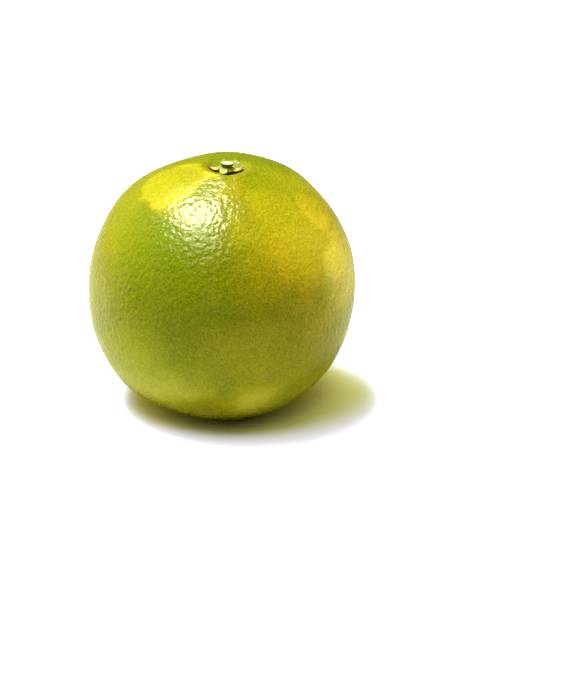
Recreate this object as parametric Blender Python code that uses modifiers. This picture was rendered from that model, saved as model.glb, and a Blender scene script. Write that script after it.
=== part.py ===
"""A whole pomelo, standing on the small flat spot at its blossom end.

The fruit is one solid. A five-lobed calyx sits in the shallow pit at its stem end, and the cut
stub of the fruit stalk rises from the calyx. All three are modelled in the fruit's own frame,
whose origin is the fruit's centre and whose +Z runs to the stalk, and an empty leans that frame
and stands it on the ground. Units are metres, +Z is up, and the ground is at Z = 0.
"""

import math

import bmesh
import bpy
from mathutils import Matrix, Vector

MM = 0.001

# The fruit: a sphere of this radius, changed by a few soft terms.
FRUIT_RADIUS = 80.8 * MM
STEM_HEAVINESS = 0.005  # share of the radius added at the stem end and taken at the other
POLE_FLATTENING = 0.022  # share of the radius taken at both ends, a third of it at the waist
REST_HEIGHT = 76.6 * MM  # from the ground to the fruit's centre, which sets the flat spot's width
LEAN_FORWARD = math.radians(6.0)
LEAN_RIGHT = math.radians(2.6)

# Soft swellings and flats: azimuth and height of each one's middle seen from the fruit's centre,
# in degrees in the standing frame, then how far it stands out and its half width in degrees.
SWELLINGS = (
    (203.0, -44.0, 1.4 * MM, 15.0),
    (137.0, 59.0, -1.7 * MM, 17.0),
    (33.0, 53.0, 0.7 * MM, 12.0),
    (171.0, 27.0, -0.9 * MM, 14.0),
    (70.0, -20.0, 1.0 * MM, 30.0),
    (118.0, 18.0, -0.9 * MM, 26.0),
)

# The pit at the stem end, in distances from the fruit's axis.
PIT_DEPTH = 4.2 * MM
PIT_RADIUS = 11.0 * MM
PIT_STEEPNESS = 4
SEAT_TILT = math.radians(6.0)  # back from the fruit's axis, so that the calyx lies nearly level
SEAT_RADIUS = 21.0 * MM
PIT_LIP_HEIGHT = 0.45 * MM
PIT_LIP_RADIUS = 15.5 * MM
PIT_LIP_WIDTH = 3.6 * MM

# The fruit's mesh: more rings round the pit than round the waist.
FRUIT_SEGMENTS = 60
FRUIT_RINGS = 54
STEM_RING_SPACING = 0.33  # share of an even spacing that the rings have at the stem end
SHARP_RIM_ANGLE = math.radians(20.0)  # the rim of the flat spot is the only edge past this angle

# The calyx: azimuth and reach of each lobe's tip.
CALYX_LOBES = (
    (-97.0, 9.6 * MM),
    (-14.0, 10.6 * MM),
    (54.0, 9.8 * MM),
    (128.0, 10.2 * MM),
    (190.0, 10.4 * MM),
)
CALYX_NOTCH_REACH = 6.2 * MM  # from the axis to the bottom of the notch between two lobes
CALYX_LOBE_HALF_WIDTH = 36.0  # degrees
CALYX_LOBE_POINTEDNESS = 1.3
CALYX_THICKNESS = 1.5 * MM
CALYX_TIP_THICKNESS = 0.8 * MM
CALYX_TIP_LIFT = 0.7 * MM
CALYX_TIP_RADIUS = 9.6 * MM  # where the tips have that thickness and that lift
CALYX_COLLAR_HEIGHT = 0.9 * MM
CALYX_COLLAR_RADIUS = 3.6 * MM
CALYX_SEGMENTS = 60
CALYX_RINGS = 12

# The stub of the stalk, cut across at its top.
STUB_FOOT_RADIUS = 2.6 * MM
STUB_CUT_RADIUS = 3.9 * MM
STUB_HEIGHT = 3.5 * MM
STUB_TILT = math.radians(9.0)  # back from the fruit's axis
STUB_EDGE_RADIUS = 0.45 * MM
STUB_EDGE_POINTS = 4
STUB_SIDE_POINTS = 6
STUB_SEGMENTS = 32

GAP = 0.3 * MM  # between pieces that touch

# Each material's colour and roughness.
RIND_FINISH = ((0.36, 0.42, 0.02), 0.4)
CALYX_FINISH = ((0.24, 0.36, 0.05), 0.55)
STALK_FINISH = ((0.30, 0.20, 0.05), 0.7)


def clear_scene():
    """Removes every object that the scene starts with."""
    for obj in list(bpy.data.objects):
        bpy.data.objects.remove(obj)


def new_material(name, color, roughness):
    """A Principled BSDF of one colour and roughness, without metal."""
    material = bpy.data.materials.new(name)
    material.use_nodes = True
    shader = material.node_tree.nodes["Principled BSDF"]
    shader.inputs["Base Color"].default_value = (*color, 1.0)
    shader.inputs["Roughness"].default_value = roughness
    shader.inputs["Metallic"].default_value = 0.0
    return material


def add_object(name, mesh, collection, axis, material):
    """Puts a mesh into the collection as a child of the fruit's axis."""
    mesh.materials.append(material)
    obj = bpy.data.objects.new(name, mesh)
    collection.objects.link(obj)
    obj.parent = axis
    return obj


def lean_matrix():
    """Turns the fruit's own frame into the standing frame."""
    return Matrix.Rotation(LEAN_FORWARD, 3, "X") @ Matrix.Rotation(LEAN_RIGHT, 3, "Y")


def swelling_directions():
    """The middles of the swellings as directions in the fruit's own frame."""
    to_fruit = lean_matrix().inverted()
    found = []
    for azimuth, height, rise, half_width in SWELLINGS:
        around = math.radians(azimuth)
        up = math.radians(height)
        level = Vector((math.cos(around), math.sin(around), 0.0)) * math.cos(up)
        standing = level + Vector((0.0, 0.0, math.sin(up)))
        found.append((to_fruit @ standing, rise, math.radians(half_width)))
    return found


def rind_point(polar, azimuth, swellings):
    """The point of the rind at this polar angle from the stem end and this azimuth.

    The radius is the sphere's with the third and fourth Legendre terms and the swellings. The
    pit then lowers the point along the axis, and the seat's tilt raises it in front of the axis
    and lowers it behind.
    """
    direction = Vector(
        (
            math.sin(polar) * math.cos(azimuth),
            math.sin(polar) * math.sin(azimuth),
            math.cos(polar),
        )
    )
    height = direction.z
    third = (5 * height**3 - 3 * height) / 2
    fourth = (35 * height**4 - 30 * height**2 + 3) / 8
    radius = FRUIT_RADIUS * (1 + STEM_HEAVINESS * third - POLE_FLATTENING * fourth)
    for middle, rise, half_width in swellings:
        away = direction.angle(middle) / half_width
        radius += rise * math.exp(-(away**2))
    point = direction * radius
    if point.z > 0:
        from_axis = math.hypot(point.x, point.y)
        point.z -= PIT_DEPTH * math.exp(-((from_axis / PIT_RADIUS) ** PIT_STEEPNESS))
        point.z += PIT_LIP_HEIGHT * math.exp(-(((from_axis - PIT_LIP_RADIUS) / PIT_LIP_WIDTH) ** 2))
        point.z -= math.tan(SEAT_TILT) * point.y * math.exp(-((from_axis / SEAT_RADIUS) ** 4))
    return point


def build_fruit(collection, axis, swellings):
    """The fruit: a UV sphere whose points go onto the rind, cut flat where it rests."""
    shape = bmesh.new()
    bmesh.ops.create_uvsphere(shape, u_segments=FRUIT_SEGMENTS, v_segments=FRUIT_RINGS, radius=1)
    for vertex in shape.verts:
        share = math.acos(max(-1.0, min(1.0, vertex.co.z))) / math.pi
        polar = math.pi * share * (STEM_RING_SPACING + (1 - STEM_RING_SPACING) * share)
        vertex.co = rind_point(polar, math.atan2(vertex.co.y, vertex.co.x), swellings)

    down = lean_matrix().inverted() @ Vector((0, 0, -1))
    cut = bmesh.ops.bisect_plane(
        shape,
        geom=shape.verts[:] + shape.edges[:] + shape.faces[:],
        plane_co=down * REST_HEIGHT,
        plane_no=down,
        clear_outer=True,
    )
    rim = [item for item in cut["geom_cut"] if isinstance(item, bmesh.types.BMEdge)]
    bmesh.ops.contextual_create(shape, geom=rim)
    bmesh.ops.recalc_face_normals(shape, faces=shape.faces[:])

    mesh = bpy.data.meshes.new("fruit")
    shape.to_mesh(mesh)
    shape.free()
    mesh.shade_smooth()
    mesh.set_sharp_from_angle(angle=SHARP_RIM_ANGLE)
    return add_object("fruit", mesh, collection, axis, new_material("rind", *RIND_FINISH))


def calyx_reach(azimuth):
    """How far the calyx reaches from the axis at this azimuth: each lobe is a rounded cosine."""
    reach = CALYX_NOTCH_REACH
    for middle, tip_reach in CALYX_LOBES:
        away = (math.degrees(azimuth) - middle + 180) % 360 - 180
        if abs(away) < CALYX_LOBE_HALF_WIDTH:
            bend = math.cos(math.pi / 2 * away / CALYX_LOBE_HALF_WIDTH)
            share = bend**CALYX_LOBE_POINTEDNESS
            reach = max(reach, CALYX_NOTCH_REACH + (tip_reach - CALYX_NOTCH_REACH) * share)
    return reach


def build_calyx(collection, axis, swellings):
    """The calyx: a UV sphere flattened onto the pit, with five lobes whose tips lift a little."""
    shape = bmesh.new()
    bmesh.ops.create_uvsphere(shape, u_segments=CALYX_SEGMENTS, v_segments=CALYX_RINGS, radius=1)
    for vertex in shape.verts:
        azimuth = math.atan2(vertex.co.y, vertex.co.x)
        out = min(1.0, math.hypot(vertex.co.x, vertex.co.y))
        reach = out * calyx_reach(azimuth)
        under = rind_point(reach / FRUIT_RADIUS, azimuth, swellings)
        towards_tip = reach / CALYX_TIP_RADIUS
        thinning = (CALYX_THICKNESS - CALYX_TIP_THICKNESS) * min(1.0, towards_tip**2)
        thickness = CALYX_THICKNESS - thinning
        lift = CALYX_TIP_LIFT * towards_tip**3
        side = math.copysign(1 - (1 - abs(vertex.co.z)) ** 3, vertex.co.z)
        collar = 0.0
        if vertex.co.z > 0:
            collar = CALYX_COLLAR_HEIGHT * math.exp(-((reach / CALYX_COLLAR_RADIUS) ** 4))
        vertex.co = under + Vector((0, 0, GAP + lift + thickness * (1 + side) / 2 + collar))

    mesh = bpy.data.meshes.new("calyx")
    bmesh.ops.recalc_face_normals(shape, faces=shape.faces[:])
    shape.to_mesh(mesh)
    shape.free()
    mesh.shade_smooth()
    return add_object("calyx", mesh, collection, axis, new_material("calyx", *CALYX_FINISH))


def stub_profile():
    """Half the stub's outline, from the middle of the cut face down the side to the foot."""
    top = STUB_HEIGHT
    points = [(0.0, top)]
    for step in range(STUB_EDGE_POINTS + 1):
        turn = math.pi / 2 * step / STUB_EDGE_POINTS
        points.append(
            (
                STUB_CUT_RADIUS - STUB_EDGE_RADIUS * (1 - math.sin(turn)),
                top - STUB_EDGE_RADIUS * (1 - math.cos(turn)),
            )
        )
    side_top = top - STUB_EDGE_RADIUS
    for step in range(1, STUB_SIDE_POINTS + 1):
        down = step / STUB_SIDE_POINTS
        narrowing = math.sin(math.pi / 2 * down)
        radius = STUB_CUT_RADIUS + (STUB_FOOT_RADIUS - STUB_CUT_RADIUS) * narrowing
        points.append((radius, side_top * (1 - down)))
    points.append((0.0, 0.0))
    return points


def build_stub(collection, axis, swellings):
    """The stub of the stalk: a profile turned about its own axis, standing on the calyx."""
    profile = stub_profile()
    mesh = bpy.data.meshes.new("stalk_stub")
    edges = [(i, i + 1) for i in range(len(profile) - 1)]
    mesh.from_pydata([(radius, 0.0, height) for radius, height in profile], edges, [])
    stub = add_object("stalk_stub", mesh, collection, axis, new_material("stalk", *STALK_FINISH))
    calyx_top = rind_point(0, 0, swellings).z + GAP + CALYX_THICKNESS + CALYX_COLLAR_HEIGHT
    tilt_on_calyx = STUB_TILT - SEAT_TILT
    stub.location.z = calyx_top + GAP + STUB_FOOT_RADIUS * math.sin(tilt_on_calyx)
    stub.rotation_euler.x = -STUB_TILT

    turn = stub.modifiers.new("Turn", "SCREW")
    turn.axis = "Z"
    turn.steps = STUB_SEGMENTS
    turn.render_steps = STUB_SEGMENTS
    turn.use_merge_vertices = True
    turn.merge_threshold = 0.01 * MM
    turn.use_smooth_shade = True
    return stub


def stand_over_origin(axis, fruit):
    """Moves the axis sideways until the fruit's box is centred over the origin."""
    bpy.context.view_layer.update()
    corners = [fruit.matrix_world @ vertex.co for vertex in fruit.data.vertices]
    for side in (0, 1):
        low = min(corner[side] for corner in corners)
        high = max(corner[side] for corner in corners)
        axis.location[side] -= (low + high) / 2


def main():
    """Builds the three pieces round one axis and stands them over the origin."""
    clear_scene()
    collection = bpy.data.collections.new("pomelo")
    bpy.context.scene.collection.children.link(collection)
    axis = bpy.data.objects.new("fruit_axis", None)
    collection.objects.link(axis)
    axis.location.z = REST_HEIGHT
    axis.rotation_euler = lean_matrix().to_euler()

    swellings = swelling_directions()
    fruit = build_fruit(collection, axis, swellings)
    build_calyx(collection, axis, swellings)
    build_stub(collection, axis, swellings)
    stand_over_origin(axis, fruit)


if __name__ == "__main__":
    main()
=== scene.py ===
"""A whole pomelo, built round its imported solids.

The rind is a fine skin in the form of the solid fruit, with the broad unevenness, the dimples of
its oil glands, the folds round its stem pit and the scar at its blossom end. The calyx and the
stub of the stalk are fine surfaces in place of their plain solids. Units are metres, +Z is up.
"""

import itertools
import logging
import math
from dataclasses import dataclass, field

import bpy
import numpy as np
from mathutils import Matrix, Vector
from numpy.typing import NDArray


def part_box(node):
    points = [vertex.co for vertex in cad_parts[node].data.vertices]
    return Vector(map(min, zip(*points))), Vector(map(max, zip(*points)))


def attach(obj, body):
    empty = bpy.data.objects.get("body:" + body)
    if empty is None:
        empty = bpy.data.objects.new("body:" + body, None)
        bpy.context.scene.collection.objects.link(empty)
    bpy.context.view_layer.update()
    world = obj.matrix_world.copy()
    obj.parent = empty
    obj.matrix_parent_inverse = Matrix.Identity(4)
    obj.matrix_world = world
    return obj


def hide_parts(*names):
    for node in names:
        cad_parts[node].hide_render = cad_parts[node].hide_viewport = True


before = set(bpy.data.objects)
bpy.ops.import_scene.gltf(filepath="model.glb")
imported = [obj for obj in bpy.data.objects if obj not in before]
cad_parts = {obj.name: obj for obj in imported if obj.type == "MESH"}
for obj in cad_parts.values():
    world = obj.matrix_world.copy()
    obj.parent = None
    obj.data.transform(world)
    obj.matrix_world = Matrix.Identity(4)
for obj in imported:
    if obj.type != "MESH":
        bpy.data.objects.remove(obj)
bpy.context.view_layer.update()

MM = 0.001
Floats = NDArray[np.float64]
Ints = NDArray[np.int64]
Colour = tuple[float, float, float]
Socket = bpy.types.NodeSocket
log = logging.getLogger("pomelo")


def smooth_step(low: float, high: float, value: Floats) -> Floats:
    """Rises from 0 at low to 1 at high, level at both ends: 3 s squared - 2 s cubed.

    Args:
        low: The value where the result is 0. It may be the larger one.
        high: The value where the result is 1.
        value: What is looked up.

    Returns:
        Numbers between 0 and 1, in the shape of value.
    """
    share = np.clip((value - low) / (high - low), 0.0, 1.0)
    return share * share * (3.0 - 2.0 * share)


def direction(azimuth: float, height: float) -> Floats:
    """The unit vector at an azimuth and a height above the horizon, both in degrees."""
    around, up = math.radians(azimuth), math.radians(height)
    return np.array([math.cos(up) * math.cos(around), math.cos(up) * math.sin(around), math.sin(up)])


class Scatter:
    """Random numbers tied to the cells of a lattice in space, the same on every run."""

    def __init__(self, seed: int) -> None:
        """Keeps the seed, which gives each use a lattice of its own."""
        self.seed = seed

    def numbers(self, cells: Ints) -> Floats:
        """Even random numbers for lattice cells.

        The cell's whole numbers are multiplied, crossed with each other, folded by half their
        bits and crossed again, with 32-bit overflow.

        Args:
            cells: Whole-number places, shape (n, 3).

        Returns:
            Three numbers between 0 and 1 for each cell, shape (n, 3).
        """
        mixed = (cells & 0xFFFFFFFF).astype(np.uint32) * np.uint32(1664525)
        mixed += np.uint32(1013904223 + self.seed * 7919)
        for fold in (True, False):
            for first in range(3):
                second, third = (first + 1) % 3, (first + 2) % 3
                mixed[:, first] += mixed[:, second] * mixed[:, third]
            if fold:
                mixed ^= mixed >> np.uint32(16)
        return mixed / 4294967296.0

    def smooth(self, points: Floats, wavelength: float) -> Floats:
        """Smooth noise between -1 and 1: eased blending of the lattice cells' numbers.

        Args:
            points: Places in metres, shape (n, 3).
            wavelength: The lattice's spacing in metres.

        Returns:
            One number for each point, shape (n,).
        """
        grid = points / wavelength
        cell = np.floor(grid).astype(np.int64)
        share = grid - cell
        ease = share * share * (3.0 - 2.0 * share)
        total = np.zeros(len(points))
        for corner in itertools.product((0, 1), repeat=3):
            weight = np.prod(np.where(corner, ease, 1.0 - ease), axis=1)
            total += weight * self.numbers(cell + np.array(corner))[:, 0]
        return 2.0 * total - 1.0

    def fractal(self, points: Floats, wavelength: float, octaves: int) -> Floats:
        """Smooth noise with finer and weaker layers: each has half the wavelength and strength."""
        layers = (self.smooth(points + 3.7 * n, wavelength / 2**n) / 2**n for n in range(octaves))
        return sum(layers)

    def nearest(self, points: Floats, pitch: float) -> tuple[Floats, Floats]:
        """The nearest of the points that are scattered one to a lattice cell.

        Args:
            points: Places in metres, shape (n, 3).
            pitch: The lattice's spacing in metres.

        Returns:
            The distance to the nearest scattered point, in pitches, and that point's own random
            number between 0 and 1, each of shape (n,).
        """
        grid = points / pitch
        cell = np.floor(grid).astype(np.int64)
        best = np.full(len(points), np.inf)
        chance = np.zeros(len(points))
        for step in itertools.product((-1, 0, 1), repeat=3):
            numbers = self.numbers(cell + np.array(step))
            away = np.linalg.norm(cell + np.array(step) + numbers - grid, axis=1)
            closer = away < best
            best = np.where(closer, away, best)
            chance = np.where(closer, (numbers.sum(axis=1) * 7.0) % 1.0, chance)
        return best, chance


def make_piece(name: str, points: Floats, quads: Ints, fields: dict[str, Floats]) -> bpy.types.Object:
    """Puts arrays into a smooth-shaded mesh object at the origin.

    A quad whose last corner repeats its first is a triangle: it is stored with three corners.

    Args:
        name: The piece's name.
        points: Its vertices in metres, shape (n, 3).
        quads: Vertex numbers of its faces, anticlockwise from outside, shape (m, 4).
        fields: Named numbers for each vertex, which become attributes that materials read.

    Returns:
        The new object, linked to the scene.
    """
    corners = np.where(quads[:, 3] == quads[:, 0], 3, 4)
    used = np.arange(4)[None, :] < corners[:, None]
    mesh = bpy.data.meshes.new(name)
    mesh.vertices.add(len(points))
    mesh.vertices.foreach_set("co", points.astype(np.float32).ravel())
    mesh.loops.add(int(corners.sum()))
    mesh.loops.foreach_set("vertex_index", quads[used].astype(np.int32))
    mesh.polygons.add(len(quads))
    mesh.polygons.foreach_set("loop_start", (np.cumsum(corners) - corners).astype(np.int32))
    mesh.update(calc_edges=True)
    mesh.shade_smooth()
    for field_name, values in fields.items():
        attribute = mesh.attributes.new(field_name, "FLOAT", "POINT")
        attribute.data.foreach_set("value", values.astype(np.float32))
    piece = bpy.data.objects.new(name, mesh)
    bpy.context.scene.collection.objects.link(piece)
    return piece


def report_piece(piece: bpy.types.Object) -> None:
    """Logs a finished piece with its number of faces."""
    log.info("%s: %d faces", piece.name, len(piece.data.polygons))


class Graph:
    """A new material's nodes, with short ways to add and join them."""

    def __init__(self, name: str) -> None:
        """Starts a material with its Principled shader and its coordinates in metres."""
        self.material = bpy.data.materials.new(name)
        self.material.use_nodes = True
        self.tree = self.material.node_tree
        self.shader = self.tree.nodes["Principled BSDF"]
        self.place = self.add("ShaderNodeTexCoord").outputs["Object"]

    def add(self, kind: str, inputs: dict | None = None, **settings: object) -> bpy.types.Node:
        """Adds a node.

        Args:
            kind: The node's type.
            inputs: Its sockets by name or number, each with a socket to join or a value to hold.
            settings: The node's own properties.

        Returns:
            The node.
        """
        node = self.tree.nodes.new(kind)
        for setting, value in settings.items():
            setattr(node, setting, value)
        self.feed(node, inputs or {})
        return node

    def feed(self, node: bpy.types.Node, inputs: dict) -> None:
        """Joins or sets a node's sockets."""
        for socket, value in inputs.items():
            if isinstance(value, bpy.types.NodeSocket):
                self.tree.links.new(value, node.inputs[socket])
            else:
                node.inputs[socket].default_value = value

    def attribute(self, name: str) -> Socket:
        """A number that the mesh holds for each vertex."""
        return self.add("ShaderNodeAttribute", attribute_name=name).outputs["Fac"]

    def noise(self, wavelength: float, detail: float = 2.0, stretch: Floats | None = None) -> Socket:
        """Smooth noise round a half.

        Args:
            wavelength: The size of its blobs in metres.
            detail: How many finer layers it has.
            stretch: How many times longer the blobs are along X, Y and Z.

        Returns:
            A number between 0 and 1.
        """
        place = self.place
        if stretch is not None:
            scale = {"Vector": place, "Scale": tuple(1.0 / np.asarray(stretch))}
            place = self.add("ShaderNodeMapping", scale).outputs["Vector"]
        inputs = {"Vector": place, "Scale": 1.0 / wavelength, "Detail": detail}
        return self.add("ShaderNodeTexNoise", inputs).outputs["Fac"]

    def cells(self, pitch: float) -> tuple[Socket, Socket]:
        """Scattered points: the distance to the nearest one in pitches, and its random number."""
        inputs = {"Vector": self.place, "Scale": 1.0 / pitch}
        node = self.add("ShaderNodeTexVoronoi", inputs)
        chance = self.add("ShaderNodeSeparateColor", {"Color": node.outputs["Color"]})
        return node.outputs["Distance"], chance.outputs["Red"]

    def remap(
        self, value: Socket, low: float, high: float, to_low: float = 0.0, to_high: float = 1.0
    ) -> Socket:
        """Eases a value from to_low at low to to_high at high, and holds it outside them."""
        inputs = {"Value": value, "From Min": low, "From Max": high, "To Min": to_low, "To Max": to_high}
        node = self.add("ShaderNodeMapRange", inputs, interpolation_type="SMOOTHSTEP")
        return node.outputs["Result"]

    def math(self, operation: str, first: Socket, second: Socket | float = 0.0) -> Socket:
        """One sum on two numbers."""
        return self.add("ShaderNodeMath", {0: first, 1: second}, operation=operation).outputs["Value"]

    def weigh(self, value: Socket, weight: float, start: Socket | float) -> Socket:
        """start + weight (value - 0.5): adds a noise that is centred on a half."""
        centred = self.math("MULTIPLY", self.math("SUBTRACT", value, 0.5), weight)
        return self.math("ADD", centred, start)

    def mix(self, share: Socket | float, first: Socket | Colour, second: Socket | Colour) -> Socket:
        """Blends two colours: the first where share is 0, the second where it is 1."""
        colours = [c if isinstance(c, bpy.types.NodeSocket) else (*c, 1.0) for c in (first, second)]
        inputs = {0: share, 6: colours[0], 7: colours[1]}
        return self.add("ShaderNodeMix", inputs, data_type="RGBA").outputs[2]

    def ramp(self, value: Socket, stops: tuple[tuple[float, Colour], ...]) -> Socket:
        """Looks a number up in a row of colours."""
        node = self.add("ShaderNodeValToRGB", {"Fac": value})
        elements = node.color_ramp.elements
        while len(elements) < len(stops):
            elements.new(1.0)
        for element, (position, colour) in zip(elements, stops):
            element.position = position
            element.color = (*colour, 1.0)
        return node.outputs["Color"]

    def bump(self, height: Socket, depth: float) -> Socket:
        """Tilts the surface by a height that runs from 0 to 1 over depth metres."""
        return self.add("ShaderNodeBump", {"Height": height, "Distance": depth}).outputs["Normal"]


@dataclass(frozen=True)
class RindFinish:
    """The rind's skin: waxy, green to yellow as it ripens, stippled by its oil glands."""

    ripening: tuple[tuple[float, Colour], ...] = (
        (0.00, (0.094, 0.136, 0.001)),
        (0.20, (0.112, 0.135, 0.001)),
        (0.40, (0.148, 0.151, 0.001)),
        (0.60, (0.198, 0.178, 0.002)),
        (0.80, (0.262, 0.204, 0.003)),
        (1.00, (0.367, 0.248, 0.006)),
    )
    pale: Colour = (0.85, 0.79, 0.012)
    ripe_pale: Colour = (0.92, 0.71, 0.012)
    bloom: Colour = (0.84, 0.80, 0.34)
    gland: Colour = (0.045, 0.075, 0.001)
    cork: Colour = (0.40, 0.29, 0.09)
    # Near-black: the scar at the blossom end, and under the calyx partly painted shade in the crevice.
    scar_and_painted_shade: Colour = (0.030, 0.009, 0.003)
    gland_pitch: float = 1.25 * MM
    gland_depth: float = 0.025 * MM
    peel_depth: float = 0.60 * MM
    peel_size: float = 3.0 * MM
    gland_strength: float = 0.30
    grain_strength: float = 1.7
    grain_size: float = 0.9 * MM
    mottle_size: float = 11.0 * MM
    speckle_size: float = 2.6 * MM
    bloom_share: tuple[float, float] = (0.42, 0.18)
    gloss_roughness: tuple[float, float] = (0.205, 0.275)
    gloss_patch_size: float = 14.0 * MM
    dull_roughness: float = 0.4
    refraction: float = 1.52
    gloss_tint: Colour = (1.0, 0.99, 0.57)

    def material(self) -> bpy.types.Material:
        """Builds the material.

        The ripeness that the mesh holds, mottled by two noises, gives the colour. It pales where
        the mesh says, with a bloom on the palest and least ripe places, and a fine grain varies it
        most where it isn't pale. It darkens in the middle of each gland, and turns to cork and then
        to a dark scar at the blossom end and under the calyx; under the calyx's open lobes that
        near-black is also painted shade in the crevice. The mesh's dullness takes the gloss off
        round the stem.
        """
        graph = Graph("rind")
        ripeness = graph.weigh(graph.noise(self.mottle_size, 3.0), 0.18, graph.attribute("ripeness"))
        ripeness = graph.weigh(graph.noise(self.speckle_size), 0.20, ripeness)
        colour = graph.ramp(ripeness, self.ripening)
        pallor = graph.attribute("pallor")
        colour = graph.mix(pallor, colour, graph.mix(ripeness, self.pale, self.ripe_pale))
        share = graph.remap(ripeness, 0.4, 0.9, *self.bloom_share)
        bloom = graph.math("MULTIPLY", graph.remap(pallor, 0.10, 0.60), share)
        colour = graph.mix(bloom, colour, self.bloom)
        strength = graph.remap(pallor, 0.0, 0.3, self.grain_strength, 0.3 * self.grain_strength)
        grain = graph.weigh(graph.noise(self.grain_size), 1.0, 0.0)
        grain = graph.math("MULTIPLY", grain, strength)
        grain = graph.math("ADD", grain, 1.0)
        colour = graph.add("ShaderNodeVectorMath", {0: colour, 3: grain}, operation="SCALE").outputs[0]

        away, chance = graph.cells(self.gland_pitch)
        gland = graph.remap(away, 0.52, 0.12)
        strength = graph.remap(chance, 0.0, 1.0, 0.35 * self.gland_strength, 1.65 * self.gland_strength)
        colour = graph.mix(graph.math("MULTIPLY", gland, strength), colour, self.gland)

        # Cork, then near-black scar; under the calyx's open lobes the near-black is painted shade in the
        # crevice.
        scar_and_painted_shade = graph.weigh(graph.noise(1.6 * MM), 0.25, graph.attribute("scar_and_painted_shade"))
        colour = graph.mix(graph.remap(scar_and_painted_shade, 0.15, 0.45), colour, self.cork)
        colour = graph.mix(graph.remap(scar_and_painted_shade, 0.50, 0.80), colour, self.scar_and_painted_shade)

        height = graph.weigh(graph.noise(self.grain_size), 0.35, graph.remap(away, 0.05, 0.55))
        roughness = graph.remap(graph.noise(self.gloss_patch_size), 0.3, 0.7, *self.gloss_roughness)
        dulling = graph.math("MULTIPLY", graph.attribute("dullness"), self.dull_roughness)
        roughness = graph.math("ADD", roughness, dulling)
        peel = graph.bump(graph.noise(self.peel_size, 1.0), self.peel_depth)
        normal = graph.add(
            "ShaderNodeBump", {"Height": height, "Distance": self.gland_depth, "Normal": peel}
        ).outputs["Normal"]
        skin = {"Base Color": colour, "Roughness": roughness, "Normal": normal, "IOR": self.refraction}
        skin["Specular Tint"] = (*self.gloss_tint, 1.0)
        graph.feed(graph.shader, skin)
        return graph.material


@dataclass(frozen=True)
class CalyxFinish:
    """The calyx: green and fleshy at its heart, drying to tan and brown at its edges, with painted shade
    on the underside of its lobes.
    """

    drying: tuple[tuple[float, Colour], ...] = (
        (0.00, (0.140, 0.190, 0.010)),
        (0.22, (0.260, 0.320, 0.035)),
        (0.42, (0.460, 0.410, 0.060)),
        (0.56, (0.500, 0.350, 0.080)),
        (0.75, (0.290, 0.150, 0.026)),
        # Reached mainly under the lobes: a near-black that paints the shade in the gap.
        (1.00, (0.040, 0.014, 0.005)),
    )
    grain: float = 0.10 * MM

    def material(self) -> bpy.types.Material:
        """Builds the material: the mesh's dryness, mottled by two noises, gives the colour. Under the
        lobes the dryness is full, so its near-black paints the shade in the gap.
        """
        graph = Graph("calyx")
        dryness = graph.weigh(graph.noise(2.4 * MM, 3.0), 0.32, graph.attribute("dryness"))
        dryness = graph.weigh(graph.noise(0.5 * MM), 0.12, dryness)
        colour = graph.ramp(dryness, self.drying)
        normal = graph.bump(graph.noise(0.45 * MM, 3.0), self.grain)
        roughness = graph.remap(dryness, 0.0, 1.0, 0.42, 0.75)
        graph.feed(graph.shader, {"Base Color": colour, "Roughness": roughness, "Normal": normal})
        return graph.material


@dataclass(frozen=True)
class StalkFinish:
    """The stalk: brown bark with a green tinge, and pale wood where it is cut."""

    bark: tuple[tuple[float, Colour], ...] = (
        (0.25, (0.045, 0.028, 0.002)),
        (0.50, (0.085, 0.055, 0.004)),
        (0.68, (0.150, 0.085, 0.007)),
        (0.80, (0.120, 0.105, 0.007)),
    )
    wood: tuple[tuple[float, Colour], ...] = (
        (0.00, (0.42, 0.36, 0.20)),
        (0.10, (0.46, 0.43, 0.27)),
        (0.35, (0.47, 0.45, 0.29)),
        (0.80, (0.44, 0.42, 0.22)),
        (0.92, (0.38, 0.36, 0.11)),
        (1.00, (0.20, 0.16, 0.03)),
    )
    ring: Colour = (0.38, 0.32, 0.17)
    ring_width: float = 0.11
    grain: float = 0.09 * MM

    def material(self) -> bpy.types.Material:
        """Builds the material.

        On the cut, the colour follows the distance from the pith, with faint rings. On the
        bark, it follows a noise that is drawn out along the stalk.
        """
        graph = Graph("stalk")
        from_pith = graph.attribute("from_pith")
        wood = graph.ramp(graph.weigh(graph.noise(0.6 * MM), 0.08, from_pith), self.wood)
        rings = graph.math("SINE", graph.math("MULTIPLY", from_pith, 2 * math.pi / self.ring_width))
        wood = graph.mix(graph.remap(rings, 0.2, 1.0, 0.0, 0.22), wood, self.ring)
        bark = graph.ramp(graph.noise(1.1 * MM, 4.0, np.array([1.0, 1.0, 3.0])), self.bark)
        colour = graph.mix(graph.attribute("cut"), bark, wood)
        normal = graph.bump(graph.noise(0.4 * MM, 3.0, np.array([1.0, 1.0, 2.5])), self.grain)
        graph.feed(graph.shader, {"Base Color": colour, "Roughness": 0.68, "Normal": normal})
        return graph.material


@dataclass(frozen=True)
class Swelling:
    """A soft swelling of the fruit, or a flat where rise is negative, in the standing frame."""

    azimuth: float
    height: float
    rise: float
    half_width: float

    def height_at(self, outward: Floats, form: "FruitForm") -> Floats:
        """How far it raises the rind: a bell of the angle to its middle.

        Args:
            outward: Unit vectors in the fruit's own frame, shape (n, 3).
            form: The fruit, whose lean turns the middle into that frame.

        Returns:
            Metres, shape (n,).
        """
        middle = direction(self.azimuth, self.height) @ form.lean()
        angle = np.degrees(np.arccos(np.clip(outward @ middle, -1.0, 1.0)))
        return self.rise * np.exp(-((angle / self.half_width) ** 2))


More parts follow.
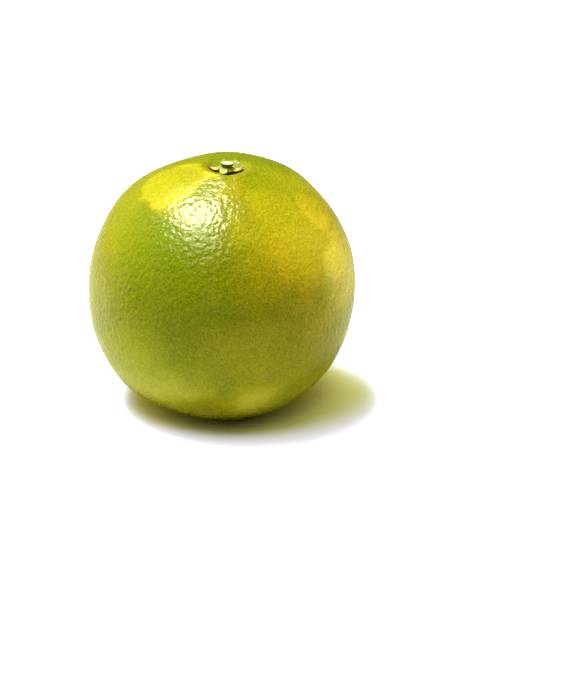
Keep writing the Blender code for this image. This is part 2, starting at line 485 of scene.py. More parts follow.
@dataclass(frozen=True)
class FruitForm:
    """The form of the solid fruit, in its own frame: centre at the origin and +Z to the stalk."""

    radius: float = 80.8 * MM
    stem_heaviness: float = 0.005
    pole_flattening: float = 0.022
    lean_forward: float = 6.0
    lean_right: float = 2.6
    rest_height: float = 76.6 * MM
    swellings: tuple[Swelling, ...] = (
        Swelling(203.0, -44.0, 1.4 * MM, 15.0),
        Swelling(137.0, 59.0, -1.7 * MM, 17.0),
        Swelling(33.0, 53.0, 0.7 * MM, 12.0),
        Swelling(171.0, 27.0, -0.9 * MM, 14.0),
        Swelling(70.0, -20.0, 1.0 * MM, 30.0),
        Swelling(118.0, 18.0, -0.9 * MM, 26.0),
    )
    pit_depth: float = 4.2 * MM
    pit_radius: float = 11.0 * MM
    pit_steepness: float = 4.0
    seat_tilt: float = 6.0
    seat_radius: float = 21.0 * MM
    lip_height: float = 0.45 * MM
    lip_radius: float = 15.5 * MM
    lip_width: float = 3.6 * MM

    def lean(self) -> Floats:
        """The rotation that turns the fruit's own frame into the standing frame, 3 by 3."""
        forward = Matrix.Rotation(math.radians(self.lean_forward), 3, "X")
        right = Matrix.Rotation(math.radians(self.lean_right), 3, "Y")
        return np.array(forward @ right)

    def rind(self, outward: Floats) -> Floats:
        """Points of the rind in the fruit's own frame.

        The radius is the sphere's with the third and fourth Legendre terms of the height, and a
        bell of the angle to the middle of each swelling. Above the waist the pit then lowers
        the point along the axis by a steep bell of its distance from the axis, the lip round
        the pit raises it, and the seat's tilt raises it in front and lowers it behind.

        Args:
            outward: Unit vectors from the fruit's centre, shape (n, 3).

        Returns:
            The points in metres, shape (n, 3).
        """
        height = outward[:, 2]
        third = (5 * height**3 - 3 * height) / 2
        fourth = (35 * height**4 - 30 * height**2 + 3) / 8
        radius = self.radius * (1 + self.stem_heaviness * third - self.pole_flattening * fourth)
        radius += sum(swelling.height_at(outward, self) for swelling in self.swellings)
        points = outward * radius[:, None]
        from_axis = np.hypot(points[:, 0], points[:, 1])
        pit = self.pit_depth * np.exp(-((from_axis / self.pit_radius) ** self.pit_steepness))
        lip = self.lip_height * np.exp(-(((from_axis - self.lip_radius) / self.lip_width) ** 2))
        seat = points[:, 1] * np.exp(-((from_axis / self.seat_radius) ** 4))
        drop = pit - lip + math.tan(math.radians(self.seat_tilt)) * seat
        points[:, 2] -= np.where(height > 0, drop, 0.0)
        return points

    def seat_points(self, from_axis: Floats, azimuth: Floats) -> Floats:
        """Points of the rind near the stem, by their distance from the axis and azimuth in radians."""
        polar = from_axis / self.radius
        flat = np.stack([np.cos(azimuth), np.sin(azimuth)], axis=-1) * np.sin(polar)[:, None]
        return self.rind(np.column_stack([flat, np.cos(polar)]))


class Stand:
    """Stands the fruit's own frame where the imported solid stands."""

    def __init__(self, form: FruitForm, outward: Floats) -> None:
        """Centres the form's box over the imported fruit's box.

        Args:
            form: The fruit's form.
            outward: Directions that cover the fruit.
        """
        self.turn = form.lean()
        standing = form.rind(outward) @ self.turn.T
        low, high = (np.array(corner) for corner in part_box("fruit"))
        middle = (low + high) / 2 - (standing.min(axis=0) + standing.max(axis=0)) / 2
        self.centre = np.array([middle[0], middle[1], low[2] + form.rest_height])

    def place(self, points: Floats) -> Floats:
        """Points of the fruit's own frame as points of the standing frame."""
        return points @ self.turn.T + self.centre


class CubeSphere:
    """Directions over a sphere: the six square sheets of a blown-up cube, welded at their edges.

    Each sheet's lines are at even angles. The directions are then drawn towards +Z, so that the
    stem end has the finest faces: a polar angle p becomes p (k + (1 - k) p / pi).
    """

    def __init__(self, cells: int, spacing_at_stem: float) -> None:
        """Works out the directions and the faces.

        Args:
            cells: Faces along the side of a sheet.
            spacing_at_stem: The spacing at +Z as a share of the spacing at the waist.
        """
        steps = np.tan(np.linspace(-np.pi / 4, np.pi / 4, cells + 1))
        across, up = np.meshgrid(steps, steps, indexing="ij")
        sheets = []
        for axis, sign in itertools.product(range(3), (1.0, -1.0)):
            sheet = np.full((cells + 1, cells + 1, 3), sign)
            sheet[..., (axis + 1) % 3] = across * sign
            sheet[..., (axis + 2) % 3] = up
            sheets.append(sheet.reshape(-1, 3))
        every = np.concatenate(sheets)
        every /= np.linalg.norm(every, axis=1)[:, None]
        _, first, number = np.unique(
            np.round(every * 1e6).astype(np.int64), axis=0, return_index=True, return_inverse=True
        )
        corner = np.arange((cells + 1) ** 2).reshape(cells + 1, cells + 1)
        sheet_quads = np.stack(
            [corner[:-1, :-1], corner[1:, :-1], corner[1:, 1:], corner[:-1, 1:]], axis=-1
        ).reshape(-1, 4)
        offsets = np.arange(6)[:, None, None] * corner.size
        self.quads = number.reshape(-1)[(sheet_quads[None] + offsets).reshape(-1, 4)]
        even = every[first]
        polar = np.arccos(np.clip(even[:, 2], -1.0, 1.0))
        polar *= spacing_at_stem + (1 - spacing_at_stem) * polar / np.pi
        azimuth = np.arctan2(even[:, 1], even[:, 0])
        self.outward = np.column_stack(
            [np.sin(polar) * np.cos(azimuth), np.sin(polar) * np.sin(azimuth), np.cos(polar)]
        )


@dataclass(frozen=True)
class Patch:
    """A soft-edged patch of the rind, with its place and its half sizes in degrees.

    Its place is seen from the fruit's centre in the standing frame. Turn slopes its width, in
    degrees anticlockwise as seen from outside. Edge is the share of its size that its edge
    takes up. Ripeness and pallor are added to the rind's own.
    """

    azimuth: float
    height: float
    half_width: float
    half_height: float
    ripeness: float
    pallor: float = 0.0
    turn: float = 0.0
    edge: float = 0.6
    raggedness: float = 5.0

    def mask(self, outward: Floats, noise: Floats) -> Floats:
        """How much of the patch there is in each direction.

        The direction's two angles from the patch's middle, sideways and upwards, are turned,
        divided by the half sizes and squared. The root of their sum is 1 on the outline, which
        the noise moves in and out by the raggedness.

        Args:
            outward: Unit vectors in the standing frame, shape (n, 3).
            noise: Smooth noise, shape (n,).

        Returns:
            Numbers between 0 and 1, shape (n,).
        """
        middle = direction(self.azimuth, self.height)
        level = direction(self.azimuth + 90.0, 0.0)
        above = np.cross(middle, level)
        ahead = outward @ middle
        sideways = np.degrees(np.arctan2(outward @ level, ahead))
        upwards = np.degrees(np.arctan2(outward @ above, ahead))
        slope = math.radians(self.turn)
        along = (sideways * math.cos(slope) + upwards * math.sin(slope)) / self.half_width
        across = (upwards * math.cos(slope) - sideways * math.sin(slope)) / self.half_height
        ragged = self.raggedness / math.sqrt(self.half_width * self.half_height)
        root = np.hypot(along, across) + ragged * noise
        return np.where(ahead > -0.2, smooth_step(1 + self.edge / 2, 1 - self.edge / 2, root), 0.0)


# Most of these rows are the rounded output of a least-squares program, not numbers chosen by hand.
# They were fitted to colour with the modelled light divided out, so on the seen side they also take up
# light and shade that the lamps don't give.
RIND_PATCHES: tuple[Patch, ...] = (
    Patch(-1.0, 39.0, 69.5, 72.0, 0.13, -0.10, 0.0, 0.5),
    Patch(-36.0, 37.0, 43.0, 42.5, 0.38, 0.15, 1.0, 0.9),
    Patch(-142.0, 65.0, 18.5, 17.5, 0.22, 0.60, 0.0, 0.5),
    Patch(-124.0, 51.0, 13.5, 4.0, 0.40, -0.06, -17.0),
    Patch(-178.0, 18.0, 40.5, 37.0, 0.31, -0.06, 0.0, 1.0),
    Patch(175.0, 63.0, 21.0, 23.0, 0.07, -0.08, 1.0),
    Patch(51.0, 71.0, 33.0, 21.0, -0.20, 0.06, 4.0, 0.5),
    Patch(-43.0, 71.0, 7.0, 5.0, -0.09, 0.02, 0.0, 0.8),
    Patch(-42.0, 63.0, 8.5, 6.5, -0.19, 0.02, 22.0, 0.9),
    Patch(-16.0, 41.0, 9.5, 7.5, 0.19, 0.09, 2.0, 0.8),
    Patch(-19.0, 17.0, 13.0, 17.0, 0.18, 0.20, -25.0, 1.1),
    Patch(-16.0, 33.0, 5.0, 3.0, -0.11, -0.10),
    Patch(-35.0, 11.0, 3.5, 5.5, -0.27, 0.11, -3.0, 0.7),
    Patch(-39.0, 29.0, 22.0, 14.0, 0.24, 0.16, -6.0, 1.2),
    Patch(-105.0, -27.0, 37.5, 21.0, -0.17, 0.06, -6.0, 1.0),
    # Pallor only: partly painted light, the floor's bounce on the lower left.
    Patch(-135.0, -20.0, 23.0, 26.0, 0.00, 0.10, -1.0, 1.0),
    Patch(-110.0, -44.0, 43.0, 13.5, 0.11, 0.06, 1.0, 1.1),
    Patch(-147.0, -59.0, 52.5, 14.0, 0.32, -0.10, 7.0, 0.5),
    Patch(-91.0, 45.0, 12.0, 16.0, 0.02, 0.19, -3.0, 0.8),
    Patch(-137.0, 49.0, 37.0, 34.5, -0.06, -0.39, -9.0, 0.7),
    Patch(-67.0, 19.0, 17.5, 16.5, 0.07, -0.11, 0.0, 0.9),
    Patch(8.0, 48.0, 11.5, 10.0, -0.11, 0.07, 0.0, 0.7),
    Patch(-58.0, 53.0, 14.0, 9.0, -0.04, 0.04, 1.0),
    Patch(-106.0, -26.0, 13.0, 9.5, 0.07, 0.06, -1.0, 0.9),
    Patch(-23.0, 21.0, 7.5, 7.0, 0.02, 0.28, 0.0, 0.9),
    Patch(-55.0, -16.0, 39.5, 19.5, 0.34, 0.06, -12.0, 1.2),
    Patch(-4.0, 10.0, 25.0, 12.0, 0.14, 0.16, 15.0, 1.4),
    Patch(-95.0, 75.0, 7.5, 4.5, 0.14, 0.26, -23.0, 0.8),
    Patch(-122.0, 53.0, 5.5, 5.0, 0.10, 0.10, -15.0, 0.9),
    Patch(-105.0, 65.0, 7.0, 4.5, -0.14, -0.30, 10.0, 0.9),
    Patch(-75.0, 66.0, 9.5, 5.0, 0.13, 0.06, 0.0, 0.9),
    Patch(-30.0, 66.0, 10.0, 12.0, -0.11, 0.00, 0.0, 0.9),
    # The far sides and the underside.
    Patch(78.0, 30.0, 27.0, 22.0, 0.38, 0.12, 10.0, 0.8),
    Patch(112.0, -14.0, 24.0, 22.0, 0.26, 0.10, -12.0, 0.9),
    Patch(52.0, -24.0, 22.0, 17.0, -0.22, 0.04, 0.0, 0.8),
    Patch(128.0, 32.0, 13.0, 10.0, -0.20, 0.06, 20.0, 0.7),
    Patch(96.0, 47.0, 12.0, 7.0, 0.16, 0.08, 30.0, 1.0),
    Patch(-40.0, -45.0, 34.0, 16.0, 0.16, 0.14, 0.0, 0.9),
    Patch(20.0, -50.0, 26.0, 14.0, 0.28, 0.12, 0.0, 0.8),
)


@dataclass
class Rind:
    """The fruit's outside: a fine closed skin over the solid fruit."""

    form: FruitForm
    cells: int = 128
    spacing_at_stem: float = 0.42
    swell: float = 0.30 * MM
    swell_wavelength: float = 34.0 * MM
    dimple_depth: float = 0.07 * MM
    dimple_pitch: float = 3.2 * MM
    dimple_reach: float = 0.42
    fold_height: float = 0.22 * MM
    fold_count: float = 11.0
    fold_radius: float = 14.0 * MM
    fold_width: float = 7.0 * MM
    fold_wander: float = 2.2
    fold_wander_size: float = 9.0 * MM
    trench_depth: float = 1.5 * MM
    trench_radius: float = 7.3 * MM
    trench_edge: float = 1.2 * MM
    cork_radius: float = 9.0 * MM
    least_openness: float = 0.08
    openings: tuple[tuple[float, float, float], ...] = ((-52.0, 27.0, 1.0), (-172.0, 11.0, 0.3))
    blossom_scar_radius: float = 4.5 * MM
    blossom_hollow: float = 0.5 * MM
    dull_from: float = 14.0 * MM
    dull_within: float = 9.0 * MM
    foot_softness: float = 1.1 * MM
    touches: tuple[Swelling, ...] = (
        Swelling(19.0, 38.0, -0.75 * MM, 13.0),
        Swelling(117.0, 64.0, -0.65 * MM, 10.0),
        Swelling(168.0, 22.0, -0.50 * MM, 12.0),
        Swelling(-140.0, -56.0, -0.80 * MM, 16.0),
        Swelling(3.0, 12.0, 0.55 * MM, 12.0),
    )
    patches: tuple[Patch, ...] = RIND_PATCHES
    own_ripeness: float = 0.16
    ripeness_swing: float = 0.10
    ripeness_wavelength: float = 0.55
    ragged_wavelength: float = 0.30
    finish: RindFinish = field(default_factory=RindFinish)

    def relief(self, plain: Floats) -> Floats:
        """How far the skin stands off the plain form.

        It is the sum of broad noise, the touches, a bell-shaped dimple round each scattered
        point, folds that fan out of the pit (a cosine of the azimuth in a ring-shaped bell), and
        the trench under the calyx's lifted lobes, less a shallow hollow at the blossom end.

        Args:
            plain: Points of the plain form in the fruit's own frame, shape (n, 3).

        Returns:
            Metres, shape (n,).
        """
        swell = self.swell * Scatter(11).fractal(plain, self.swell_wavelength, 3)
        outward = plain / np.linalg.norm(plain, axis=1)[:, None]
        swell += sum(touch.height_at(outward, self.form) for touch in self.touches)
        away, chance = Scatter(12).nearest(plain, self.dimple_pitch)
        dimples = self.dimple_depth * (0.4 + chance) * np.exp(-((away / self.dimple_reach) ** 2))
        from_axis = np.hypot(plain[:, 0], plain[:, 1])
        azimuth = np.arctan2(plain[:, 1], plain[:, 0])
        wander = self.fold_wander * Scatter(13).smooth(plain, self.fold_wander_size)
        ring = np.exp(-(((from_axis - self.fold_radius) / self.fold_width) ** 2))
        folds = self.fold_height * ring * np.cos(self.fold_count * azimuth + wander)
        inner = self.trench_radius - self.trench_edge / 2
        outer = self.trench_radius + self.trench_edge / 2
        trench = self.trench_depth * smooth_step(outer, inner, from_axis) * self.openness(azimuth)
        at_stem = plain[:, 2] > 0
        hollow = self.blossom_hollow * np.exp(-((from_axis / self.blossom_scar_radius) ** 2))
        return swell - dimples + np.where(at_stem, folds - trench, -hollow)

    def openness(self, azimuth: Floats) -> Floats:
        """Where the calyx stands open and shows the trench, by a bell round each opening.

        Args:
            azimuth: In radians, shape (n,).

        Returns:
            Numbers from the least openness to 1, shape (n,).
        """
        bells = []
        for middle, half_width, depth in self.openings:
            away = (np.degrees(azimuth) - middle + 180.0) % 360.0 - 180.0
            bells.append(depth * np.exp(-((away / half_width) ** 4)))
        return np.maximum(self.least_openness, np.max(bells, axis=0))

    def ripeness(self, standing: Floats) -> tuple[Floats, Floats]:
        """The rind's ripeness and pallor, from broad noise and the patches.

        Args:
            standing: Unit vectors in the standing frame, shape (n, 3).

        Returns:
            Both as numbers round 0 to 1, each of shape (n,).
        """
        swing = self.ripeness_swing * Scatter(21).fractal(standing, self.ripeness_wavelength, 3)
        ripeness = self.own_ripeness + swing
        pallor = np.zeros(len(standing))
        for number, patch in enumerate(self.patches):
            noise = Scatter(30 + number).fractal(standing, self.ragged_wavelength, 3)
            mask = patch.mask(standing, noise)
            ripeness += patch.ripeness * mask
            pallor += patch.pallor * mask
        return ripeness, np.clip(pallor, 0.0, 1.0)

    def scars_and_painted_shade(self, plain: Floats) -> Floats:
        """Where the rind is corky or scarred: under the calyx, and at the blossom end. Under the calyx
        it follows how open the lobes stand, so there its dark part is also painted shade in the crevice.
        """
        from_axis = np.hypot(plain[:, 0], plain[:, 1])
        at_stem = smooth_step(self.cork_radius, self.trench_radius - self.trench_edge, from_axis)
        # Weighted by how open the lobes stand: where the crevice shows, this paints its shade.
        at_stem *= smooth_step(0.1, 0.5, self.openness(np.arctan2(plain[:, 1], plain[:, 0])))
        at_blossom = smooth_step(self.blossom_scar_radius, 0.0, from_axis)
        return np.where(plain[:, 2] > 0, at_stem, at_blossom)

    def build(self, sphere: CubeSphere, stand: Stand) -> bpy.types.Object:
        """Builds the skin and dresses it.

        Args:
            sphere: The directions and faces of the skin.
            stand: Where the fruit stands.

        Returns:
            The finished piece.
        """
        plain = self.form.rind(sphere.outward)
        skin = stand.place(plain + sphere.outward * self.relief(plain)[:, None])
        low = skin[:, 2]
        skin[:, 2] = (low + np.sqrt(low**2 + self.foot_softness**2)) / 2
        skin[:, 2] -= skin[:, 2].min()
        ripeness, pallor = self.ripeness(sphere.outward @ stand.turn.T)
        from_axis = np.hypot(plain[:, 0], plain[:, 1])
        dull = smooth_step(self.dull_from, self.dull_within, from_axis)
        dullness = np.where(plain[:, 2] > 0, dull, 0.0)
        fields = {"ripeness": ripeness, "pallor": pallor, "scar_and_painted_shade": self.scars_and_painted_shade(plain), "dullness": dullness}
        rind = make_piece("rind_skin", skin, sphere.quads, fields)
        rind.data.materials.append(self.finish.material())
        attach(rind, "root")
        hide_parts("fruit")
        return rind


def drum_faces(rings: int, segments: int) -> Ints:
    """Faces of a closed drum: a pole, rings from the top down, and a second pole.

    Args:
        rings: The number of rings.
        segments: The number of points in each ring, anticlockwise as seen from above.

    Returns:
        Vertex numbers, shape (n, 4). The triangles at the poles repeat their first corner.
    """
    ring = 1 + np.arange(rings)[:, None] * segments + np.arange(segments)[None, :]
    after = np.roll(ring, -1, axis=1)
    sides = np.stack([ring[:-1], ring[1:], after[1:], after[:-1]], axis=-1).reshape(-1, 4)
    top = np.zeros(segments, dtype=np.int64)
    bottom = np.full(segments, 1 + rings * segments)
    cap = np.stack([top, ring[0], after[0], top], axis=-1)
    base = np.stack([bottom, after[-1], ring[-1], bottom], axis=-1)
    return np.concatenate([cap, sides, base])


def drum_grid(rings: int, segments: int) -> tuple[Floats, Floats]:
    """The parameters of a drum's vertices, in the order that drum_faces numbers them.

    Args:
        rings: The number of rings.
        segments: The number of points in each ring.

    Returns:
        The way from the top pole, 0, to the bottom pole, 1, and the azimuth in radians.
    """
    way = np.linspace(0.0, 1.0, rings + 2)
    around = np.linspace(-np.pi, np.pi, segments, endpoint=False)
    inner_way = np.repeat(way[1:-1], segments)
    inner_around = np.tile(around, rings)
    return np.concatenate([[0.0], inner_way, [1.0]]), np.concatenate([[0.0], inner_around, [0.0]])


@dataclass(frozen=True)
class Lobe:
    """One lobe of the calyx.

    It holds its tip's azimuth and its half width in degrees, its reach, the lift of its tip off
    the rind, and its dryness.
    """

    azimuth: float
    half_width: float
    reach: float
    lift: float
    dryness: float


@dataclass
class Calyx:
    """The five-lobed calyx in the stem pit, with a collar in which the stalk stands."""

    form: FruitForm
    lobes: tuple[Lobe, ...] = (
        Lobe(-110.0, 36.0, 7.0 * MM, 0.0 * MM, 0.18),
        Lobe(-4.0, 28.0, 10.4 * MM, 1.1 * MM, 0.62),
        Lobe(54.0, 38.0, 8.0 * MM, -0.2 * MM, 0.0),
        Lobe(120.0, 38.0, 8.0 * MM, -0.2 * MM, 0.0),
        Lobe(174.0, 22.0, 11.4 * MM, 0.2 * MM, 0.60),
    )
    notch_reach: float = 4.3 * MM
    pointedness: float = 1.0
    thickness: float = 1.5 * MM
    tip_thickness: float = 0.5 * MM
    tip_radius: float = 9.6 * MM
    gap: float = 0.3 * MM
    collar_height: float = 1.9 * MM
    collar_radius: float = 4.7 * MM
    curl: float = 0.25 * MM
    raggedness: float = 0.40 * MM
    rag_size: float = 2.4 * MM
    wrinkle_size: float = 1.9 * MM
    dry_edge: float = 0.16
    vein_height: float = 0.14 * MM
    wrinkle_height: float = 0.16 * MM
    rings: int = 90
    segments: int = 300
    finish: CalyxFinish = field(default_factory=CalyxFinish)

    def outline(self, azimuth: Floats) -> dict[str, Floats]:
        """How the lobes share out the calyx's outline.

        A lobe's share at an azimuth is a power of the cosine of its angle to the lobe's tip,
        which reaches 0 at the lobe's half width. The reach is the notches' plus the largest
        share of a lobe's own, and the lift and dryness are the lobes' own by their shares.

        Args:
            azimuth: In radians, shape (n,).

        Returns:
            "reach", "lift" and "dryness", and "aside": the angle from the middle of the
            nearest lobe as a share of its half width, each of shape (n,).
        """
        tips = np.array([lobe.azimuth for lobe in self.lobes])
        away = (np.degrees(azimuth)[:, None] - tips + 180.0) % 360.0 - 180.0
        aside = np.clip(away / np.array([lobe.half_width for lobe in self.lobes]), -1.0, 1.0)
        share = np.cos(np.pi / 2 * aside) ** self.pointedness
        own = np.array([lobe.reach for lobe in self.lobes]) - self.notch_reach
        nearest = np.abs(away).argmin(axis=1)
        return {
            "reach": self.notch_reach + (share * own).max(axis=1),
            "lift": (share * np.array([lobe.lift for lobe in self.lobes])).sum(axis=1),
            "dryness": (share * np.array([lobe.dryness for lobe in self.lobes])).sum(axis=1),
            "aside": np.take_along_axis(aside, nearest[:, None], axis=1)[:, 0],
        }

    def build(self, stand: Stand) -> bpy.types.Object:
        """Builds the calyx: a drum pressed flat on to the pit, whose rim is the lobes' outline.

        The way from pole to pole goes round a half circle: its sine is the share of the reach
        and its cosine says how far through the thickness the point lies. Veins are cosines of
        the angle within a lobe, wrinkles are noise, and both fade at the collar.

        Args:
            stand: Where the fruit stands.

        Returns:
            The finished piece.
        """
        way, azimuth = drum_grid(self.rings, self.segments)
        lobe = self.outline(azimuth)
        rim = np.column_stack([np.cos(azimuth), np.sin(azimuth), np.zeros(len(azimuth))]) * 9 * MM
        ragged = self.raggedness * Scatter(41).fractal(rim, self.rag_size, 3)
        out = np.sin(np.pi * way)
        from_axis = out * (lobe["reach"] + ragged * smooth_step(0.4, 1.0, out))
        under = self.form.seat_points(from_axis, azimuth)
        towards_tip = from_axis / self.tip_radius

        upness = np.cos(np.pi * way)
        through = (1 + np.sign(upness) * (1 - (1 - np.abs(upness)) ** 3)) / 2
        thickness = self.thickness - (self.thickness - self.tip_thickness) * np.minimum(1, towards_tip**2)
        curl = self.curl * lobe["aside"] ** 2 * smooth_step(0.45, 1.0, out)
        lift = lobe["lift"] * towards_tip**3 + curl
        collar = self.collar_height * np.exp(-((from_axis / self.collar_radius) ** 4))
        fleshy = smooth_step(0.30, 0.60, out) * smooth_step(1.0, 0.93, out)
        veins = self.vein_height * np.cos(3 * np.pi * lobe["aside"]) * fleshy
        wrinkles = self.wrinkle_height * Scatter(42).fractal(under * [1, 1, 0.3], self.wrinkle_size, 3)
        upper = through * (collar + veins + wrinkles * smooth_step(0.2, 0.5, out))
        points = under.copy()
        points[:, 2] += self.gap + lift + thickness * through + upper

        edge = smooth_step(0.72, 0.97, out) * (1 - smooth_step(0.0, 0.3, 0.3 - lobe["dryness"]))
        # Full dryness on the lobes' underside: near-black painted shade in the gap under the lifted lobes.
        underside_shade = (1 - through) * smooth_step(0.3, 0.6, out)
        dryness = lobe["dryness"] * smooth_step(0.35, 0.80, out) + self.dry_edge * edge + underside_shade
        calyx = make_piece(
            "calyx_lobes", stand.place(points), drum_faces(self.rings, self.segments), {"dryness": dryness}
        )
        calyx.data.materials.append(self.finish.material())
        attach(calyx, "root")
        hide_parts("calyx")
        return calyx

    def top(self) -> float:
        """The height of the collar's top on the fruit's own axis."""
        middle = self.form.rind(np.array([[0.0, 0.0, 1.0]]))[0, 2]
        return float(middle) + self.gap + self.thickness + self.collar_height


@dataclass
class StalkStub:
    """The stub of the stalk: flared bark round a slightly hollow cut."""

    calyx: Calyx
    foot_radius: float = 3.0 * MM
    cut_radius: float = 3.9 * MM
    height: float = 1.9 * MM
    aside: float = 0.35 * MM
    edge_radius: float = 0.45 * MM
    tilt: float = 9.0
    sunk: float = 0.7 * MM
    hollow: float = 0.22 * MM
    rib_height: float = 0.024
    roughness: float = 0.12 * MM
    bark_grain_size: float = 1.3 * MM
    cut_grain_size: float = 0.8 * MM
    cut_grain_share: float = 0.4
    face_share: float = 0.40
    edge_share: float = 0.12
    rings: int = 110
    segments: int = 160
    finish: StalkFinish = field(default_factory=StalkFinish)

    def profile(self, way: Floats) -> tuple[Floats, Floats]:
        """Half the stub's outline: across the cut, round its edge, and down the side to the foot.

        The side narrows by a quarter sine wave. The edge is a quarter circle.

        Args:
            way: The way from the middle of the cut, 0, to the middle of the foot, 1.

        Returns:
            The radius and the height above the calyx, in metres.
        """
        flat = self.cut_radius - self.edge_radius
        edge_end = self.face_share + self.edge_share
        on_cut = np.interp(way, [0.0, self.face_share], [0.0, flat])
        turn = np.pi / 2 * np.clip((way - self.face_share) / self.edge_share, 0.0, 1.0)
        down = np.clip((way - edge_end) / (0.96 - edge_end), 0.0, 1.0)
        side_top = self.height - self.edge_radius
        narrowing = (self.foot_radius - self.cut_radius) * np.sin(np.pi / 2 * down)
        closing = np.clip((1.0 - way) / 0.04, 0.0, 1.0)
        radius = np.where(down > 0, self.cut_radius + narrowing, on_cut + self.edge_radius * np.sin(turn))
        edge_height = self.height - self.edge_radius * (1 - np.cos(turn))
        height = np.where(down > 0, side_top - (side_top + self.sunk) * down, edge_height)
        return radius * closing, height

    def build(self, stand: Stand) -> bpy.types.Object:
        """Builds the stub: the profile turned about its axis, then ribbed, roughened and tilted.

        The ribs are two cosines of the azimuth and stretched noise. The cut is hollowed by a
        parabola and scored by noise.

        Args:
            stand: Where the fruit stands.

        Returns:
            The finished piece.
        """
        way, azimuth = drum_grid(self.rings, self.segments)
        radius, height = self.profile(way)
        ring = np.column_stack([np.cos(azimuth), np.sin(azimuth), np.zeros(len(azimuth))])
        on_side = smooth_step(self.face_share, self.face_share + self.edge_share, way)
        ribs = self.rib_height * (0.6 * np.cos(2 * azimuth + 0.8) + np.cos(7 * azimuth + 2 * height / MM))
        radius = radius * (1 + ribs * smooth_step(0.1, self.face_share, way))
        points = ring * radius[:, None]
        points[:, 2] = height
        rough = self.roughness * Scatter(51).fractal(points * [1, 1, 0.4], self.bark_grain_size, 3)
        from_pith = np.clip(radius / self.cut_radius, 0.0, 1.0)
        points += ring * (rough * on_side)[:, None]
        points[:, 2] -= self.hollow * (1 - on_side) * (1 - from_pith**2)
        scored = Scatter(52).fractal(points, self.cut_grain_size, 3)
        points[:, 2] += self.cut_grain_share * (1 - on_side) * self.roughness * scored
        back = math.radians(self.tilt)
        tilted = points @ np.array(Matrix.Rotation(-back, 3, "X")).T
        tilted += [self.aside, 0.0, self.calyx.top() + self.calyx.gap]

        cut = 1 - smooth_step(self.face_share + 0.02, self.face_share + 0.07, way)
        stub = make_piece(
            "cut_stalk",
            stand.place(tilted),
            drum_faces(self.rings, self.segments),
            {"cut": cut, "from_pith": from_pith},
        )
        stub.data.materials.append(self.finish.material())
        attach(stub, "root")
        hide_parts("stalk_stub")
        return stub


@dataclass(frozen=True)
class Softbox:
    """An even rectangular light that hangs level over the fruit, as bright as its radiance."""

    name: str
    place: tuple[float, float, float]
    size: tuple[float, float]
    radiance: float


@dataclass(frozen=True)
class Glow:
    """A wide soft glow of the surroundings, round an azimuth and a height in degrees."""

    azimuth: float
    height: float
    radiance: float


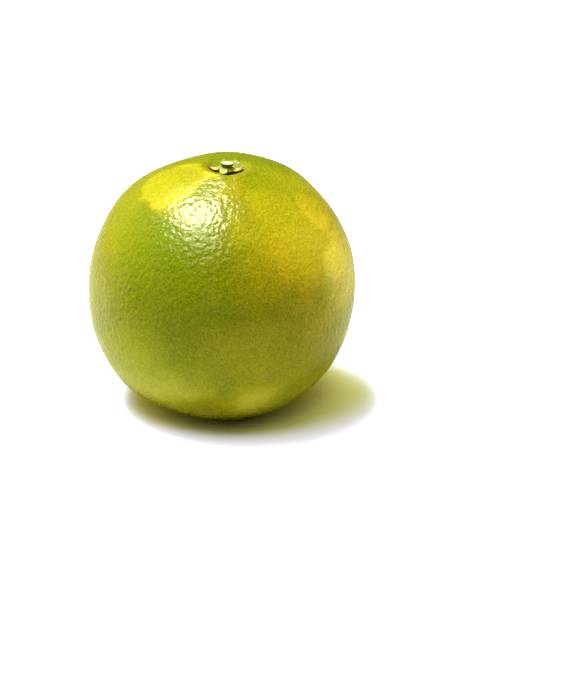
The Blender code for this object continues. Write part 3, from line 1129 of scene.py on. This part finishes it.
@dataclass
class Studio:
    """A pale floor with a painted contact shadow, soft lights and the camera."""

    target_height: float = 76.5 * MM
    elevation: float = 22.5
    distance: float = 2.0
    lens: float = 175.5
    aside: float = 38.1 * MM
    below: float = 34.2 * MM
    floor_side: float = 12.0
    floor_shade: Colour = (1.35, 1.35, 2.80)
    far_shade: Colour = (1.6, 1.6, 9.0)
    # Painted contact shadow: to the camera the floor takes this colour within 48 mm of the point below the
    # fruit, blending out by 80 mm.
    painted_contact_shadow: Colour = (0.55, 0.49, 0.45)
    painted_shadow_centre: tuple[float, float, float] = (0.0, 0.024, 0.0)
    floor_bounce: float = 0.80
    floor_gloss: tuple[Colour, Colour] = ((0.05, 0.05, 0.02), (0.55, 0.55, 0.38))
    glow_tightness: float = 4.0
    glow_tint: Colour = (1.0, 0.98, 0.14)
    softboxes: tuple[Softbox, ...] = (
        Softbox("overhead", (-0.40, -0.30, 1.28), (0.74, 1.40), 5.8),
        Softbox("core", (-0.33, -0.04, 1.26), (0.50, 0.49), 32.0),
    )
    glows: tuple[Glow, ...] = (
        Glow(15.0, 14.0, 1.25),
        Glow(135.0, 22.0, 0.75),
        Glow(163.0, 14.0, 1.35),
        Glow(180.0, 60.0, 0.65),
    )

    def build(self) -> None:
        """Lays the floor, hangs the lights and sets the camera."""
        self.lay_floor()
        for softbox in self.softboxes:
            self.hang(softbox)
        self.set_world()
        self.set_camera()
        bpy.context.scene.view_settings.view_transform = "Standard"

    def lay_floor(self) -> None:
        """One wide pale sheet at the height that the fruit rests on, with a painted shadow round the
        fruit's foot.
        """
        half = self.floor_side / 2
        corners = np.array([[-half, -half, 0], [half, -half, 0], [half, half, 0], [-half, half, 0]])
        floor = make_piece("floor", corners, np.array([[0, 1, 2, 3]]), {})
        graph = Graph("pale_floor")
        ray = graph.add("ShaderNodeLightPath").outputs
        behind = graph.add("ShaderNodeSeparateXYZ", {"Vector": graph.place}).outputs["Y"]
        seen = graph.mix(graph.remap(behind, -0.14, 0.08), *self.floor_gloss)
        colour = graph.mix(ray["Is Glossy Ray"], (self.floor_bounce,) * 3, seen)
        away = graph.add(
            "ShaderNodeVectorMath", {0: graph.place, 1: self.painted_shadow_centre}, operation="DISTANCE"
        ).outputs["Value"]
        # Painted contact shadow round the fruit's foot, seen by the camera only.
        shade = graph.mix(graph.remap(away, 0.048, 0.080), self.painted_contact_shadow, self.floor_shade)
        shade = graph.mix(graph.remap(away, 0.5, 1.6), shade, self.far_shade)
        colour = graph.mix(ray["Is Camera Ray"], colour, shade)
        graph.feed(graph.shader, {"Base Color": colour, "Roughness": 0.9, "Specular IOR Level": 0.0})
        floor.data.materials.append(graph.material)

    def hang(self, softbox: Softbox) -> None:
        """Hangs one rectangular light, which shines straight down."""
        light = bpy.data.lights.new(softbox.name, "AREA")
        light.shape = "RECTANGLE"
        light.size, light.size_y = softbox.size
        light.energy = softbox.radiance * math.pi * light.size * light.size_y
        lamp = bpy.data.objects.new(softbox.name, light)
        lamp.location = softbox.place
        bpy.context.scene.collection.objects.link(lamp)

    def set_world(self) -> None:
        """Surroundings that are plain white to the camera and light the fruit by the glows.

        A glow's radiance falls off as the exponential of its tightness times the cosine of the
        angle to its middle less 1.
        """
        world = bpy.data.worlds.new("surroundings")
        world.use_nodes = True
        tree = world.node_tree
        outward = tree.nodes.new("ShaderNodeTexCoord").outputs["Generated"]
        total = None
        for glow in self.glows:
            cosine = tree.nodes.new("ShaderNodeVectorMath")
            cosine.operation = "DOT_PRODUCT"
            cosine.inputs[1].default_value = direction(glow.azimuth, glow.height)
            tree.links.new(outward, cosine.inputs[0])
            power = tree.nodes.new("ShaderNodeMath")
            power.operation = "MULTIPLY_ADD"
            power.inputs[1].default_value = self.glow_tightness
            power.inputs[2].default_value = math.log(glow.radiance) - self.glow_tightness
            tree.links.new(cosine.outputs["Value"], power.inputs[0])
            bell = tree.nodes.new("ShaderNodeMath")
            bell.operation = "EXPONENT"
            tree.links.new(power.outputs[0], bell.inputs[0])
            if total is None:
                total = bell.outputs[0]
                continue
            added = tree.nodes.new("ShaderNodeMath")
            tree.links.new(total, added.inputs[0])
            tree.links.new(bell.outputs[0], added.inputs[1])
            total = added.outputs[0]
        lighting = tree.nodes["Background"]
        lighting.inputs["Color"].default_value = (*self.glow_tint, 1.0)
        tree.links.new(total, lighting.inputs["Strength"])
        backdrop = tree.nodes.new("ShaderNodeBackground")
        backdrop.inputs["Color"].default_value = (1.0, 1.0, 1.0, 1.0)
        choice = tree.nodes.new("ShaderNodeMixShader")
        camera = tree.nodes.new("ShaderNodeLightPath").outputs["Is Camera Ray"]
        tree.links.new(camera, choice.inputs[0])
        tree.links.new(lighting.outputs[0], choice.inputs[1])
        tree.links.new(backdrop.outputs[0], choice.inputs[2])
        tree.links.new(choice.outputs[0], tree.nodes["World Output"].inputs["Surface"])
        bpy.context.scene.world = world

    def set_camera(self) -> None:
        """The camera looks down on the fruit, which stands left of and above the frame's middle."""
        up = math.radians(self.elevation)
        ahead = np.array([0.0, math.cos(up), -math.sin(up)])
        above = np.array([0.0, math.sin(up), math.cos(up)])
        target = np.array([self.aside, 0.0, self.target_height])
        place = target - ahead * self.distance - above * self.below
        lens = bpy.data.cameras.new("camera")
        lens.lens = self.lens
        lens.clip_end = 100.0
        camera = bpy.data.objects.new("camera", lens)
        camera.location = place
        camera.rotation_euler = (math.pi / 2 - up, 0.0, 0.0)
        bpy.context.scene.collection.objects.link(camera)
        bpy.context.scene.camera = camera


def main() -> None:
    """Builds the pomelo's pieces in order, then the studio round them."""
    logging.basicConfig(level=logging.INFO, format="%(message)s")
    form = FruitForm()
    sphere = CubeSphere(Rind.cells, Rind.spacing_at_stem)
    stand = Stand(form, sphere.outward)
    report_piece(Rind(form).build(sphere, stand))
    calyx = Calyx(form)
    report_piece(calyx.build(stand))
    report_piece(StalkStub(calyx).build(stand))
    Studio().build()


if __name__ == "__main__":
    main()
